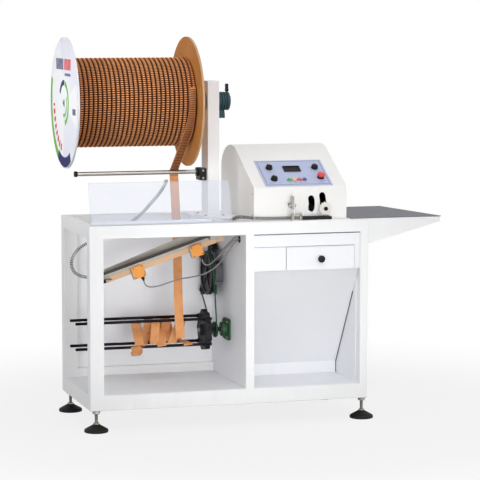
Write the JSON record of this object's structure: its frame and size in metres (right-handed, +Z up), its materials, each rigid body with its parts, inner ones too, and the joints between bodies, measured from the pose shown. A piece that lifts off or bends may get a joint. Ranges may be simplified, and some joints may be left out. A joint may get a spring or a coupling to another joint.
{
  "type": "wire cutting machine",
  "caption": "Floor-standing machine that unwinds a spool of twin-loop wire, takes up its paper on a belt-driven reel and feeds the wire to a cutting head with a sloping control panel.",
  "frame": {"origin": "on the floor, below the middle of the machine's bounding box without its free cords", "axes": "+X to the machine's right (towards the wing table), +Y to the back, +Z up"},
  "size_m": [1.5781, 0.6, 1.6125],
  "materials": {
    "white_paint": "satin powder coat",
    "steel": "plain",
    "chrome": "polished",
    "black_plastic": "matte",
    "black_steel": "satin black",
    "green_paint": "satin",
    "teal_paint": "satin",
    "brown_board": "hardboard",
    "printed_board": "printed paper on hardboard",
    "wire_paper": "brown coated wire with paper",
    "paper": "kraft paper",
    "acrylic": "clear acrylic sheet",
    "grey_sheet": "plain sheet",
    "brown_laminate": "phenolic laminate",
    "orange_plastic": "moulded",
    "grey_cable": "sheathed cable",
    "green_belt": "round belt",
    "panel_blue": "printed panel",
    "wing_grey": "hammered grey",
    "nylon": "nylon",
    "foot_black": "moulded foot",
    "green_button": "lens",
    "amber_button": "lens",
    "red_button": "lens",
    "blue_button": "lens"
  },
  "bodies": {
    "machine": {"front_frame": "white_paint", "rear_frame": "white_paint", "foot_front_left": "foot_black", "foot_front_right": "foot_black", "foot_rear_left": "foot_black", "foot_rear_right": "foot_black", "back_panel": "white_paint", "bottom_shelf": "white_paint", "partition_panel": "white_paint", "side_panel_right": "white_paint", "electrical_cover": "white_paint", "front_panel": "white_paint", "table_top": "white_paint", "column": "white_paint", "brake_body": "teal_paint", "guide_clamp": "black_steel", "guard_pane": "acrylic", "guard_strip": "black_steel", "trough": "grey_sheet", "trough_rail": "brown_laminate", "sensor_low": "orange_plastic", "sensor_high": "orange_plastic", "gear_motor": "black_steel", "tensioner_bracket": "black_steel", "drive_belt": "green_belt", "bearing_housing": "green_paint", "paper_strip": "paper", "wire_strand": "steel", "head_housing": "white_paint", "control_panel": "panel_blue", "feed_base": "black_steel", "guide_post": "steel", "wing_plate": "wing_grey", "wing_bracket": "white_paint", "sensor_cable_low": "grey_cable", "sensor_cable_high": "grey_cable", "motor_cable": "grey_cable"},
    "spool": {"spool_shaft": "steel", "spool_core": "brown_board", "flange_left": "printed_board", "flange_right": "brown_board", "wire_winding": "wire_paper"},
    "guide_roller": {"guide_roller": "chrome"},
    "drive_pulley": {"drive_pulley": "black_steel"},
    "tensioner_pulley": {"tensioner_pulley": "black_plastic"},
    "reel": {"reel_shaft": "black_steel", "reel_spider": "black_steel", "reel_paper": "paper"},
    "brake_lever": {"brake_lever": "black_plastic"},
    "drawer": {"drawer": "white_paint"},
    "swing_arm": {"swing_arm": "steel"},
    "feed_wheel": {"feed_wheel": "nylon"},
    "speed_knob": {"speed_knob": "black_plastic"},
    "selector_knob": {"selector_knob": "black_plastic"},
    "length_knob": {"length_knob": "black_plastic"},
    "green_button": {"green_button": "green_button"},
    "amber_button": {"amber_button": "amber_button"},
    "red_button": {"red_button": "red_button"},
    "blue_button": {"blue_button": "blue_button"},
    "emergency_button": {"emergency_button": "red_button"}
  },
  "joints": [
    {"name": "spool_turn", "type": "hinge", "parent": "machine", "child": "spool", "pos_m": [-0.2615, 0, 1.341], "axis": [1, 0, 0], "continuous": true},
    {"name": "guide_roller_turn", "type": "hinge", "parent": "machine", "child": "guide_roller", "pos_m": [-0.4735, 0, 1.044], "axis": [1, 0, 0], "continuous": true},
    {"name": "reel_turn", "type": "hinge", "parent": "machine", "child": "reel", "pos_m": [-0.1345, 0, 0.368], "axis": [1, 0, 0], "continuous": true},
    {"name": "drive_pulley_turn", "type": "hinge", "parent": "machine", "child": "drive_pulley", "pos_m": [-0.1345, 0.11, 0.598], "axis": [1, 0, 0], "continuous": true},
    {"name": "tensioner_turn", "type": "hinge", "parent": "machine", "child": "tensioner_pulley", "pos_m": [-0.1345, 0.195, 0.515], "axis": [1, 0, 0], "continuous": true},
    {"name": "brake_lever_turn", "type": "hinge", "parent": "machine", "child": "brake_lever", "pos_m": [-0.0815, 0, 1.3878], "axis": [1, 0, 0], "range_deg": [-30, 30]},
    {"name": "drawer_slide", "type": "slide", "parent": "machine", "child": "drawer", "axis": [0, -1, 0], "range_m": [0, 0.28]},
    {"name": "swing_arm_lift", "type": "hinge", "parent": "machine", "child": "swing_arm", "pos_m": [0.1265, -0.225, 0.915], "axis": [0, -1, 0], "range_deg": [0, 18]},
    {"name": "feed_wheel_turn", "type": "hinge", "parent": "swing_arm", "child": "feed_wheel", "pos_m": [0.2734, -0.258, 0.89699], "axis": [0, 1, 0], "continuous": true},
    {"name": "speed_knob_turn", "type": "hinge", "parent": "machine", "child": "speed_knob", "pos_m": [0.0745, -0.09971, 1.05482], "axis": [0, -0.4706, 0.8824], "range_deg": [-135, 135]},
    {"name": "selector_knob_turn", "type": "hinge", "parent": "machine", "child": "selector_knob", "pos_m": [0.0735, -0.17735, 1.01341], "axis": [0, -0.4706, 0.8824], "range_deg": [-45, 45]},
    {"name": "length_knob_turn", "type": "hinge", "parent": "machine", "child": "length_knob", "pos_m": [0.2755, -0.10235, 1.05341], "axis": [0, -0.4706, 0.8824], "range_deg": [-135, 135]},
    {"name": "green_button_press", "type": "slide", "parent": "machine", "child": "green_button", "axis": [0, 0.4706, -0.8824], "range_m": [0, 0.003], "stiffness_N_per_m": 400},
    {"name": "amber_button_press", "type": "slide", "parent": "machine", "child": "amber_button", "axis": [0, 0.4706, -0.8824], "range_m": [0, 0.003], "stiffness_N_per_m": 400},
    {"name": "red_button_press", "type": "slide", "parent": "machine", "child": "red_button", "axis": [0, 0.4706, -0.8824], "range_m": [0, 0.003], "stiffness_N_per_m": 400},
    {"name": "blue_button_press", "type": "slide", "parent": "machine", "child": "blue_button", "axis": [0, 0.4706, -0.8824], "range_m": [0, 0.003], "stiffness_N_per_m": 400},
    {"name": "emergency_press", "type": "slide", "parent": "machine", "child": "emergency_button", "axis": [0, 0.4706, -0.8824], "range_m": [0, 0.005], "stiffness_N_per_m": 800}
  ],
  "couplings": [
    {"joint": "drive_pulley_turn", "follows": "reel_turn", "ratio": 0.34409},
    {"joint": "tensioner_turn", "follows": "reel_turn", "ratio": 1.4545}
  ]
}
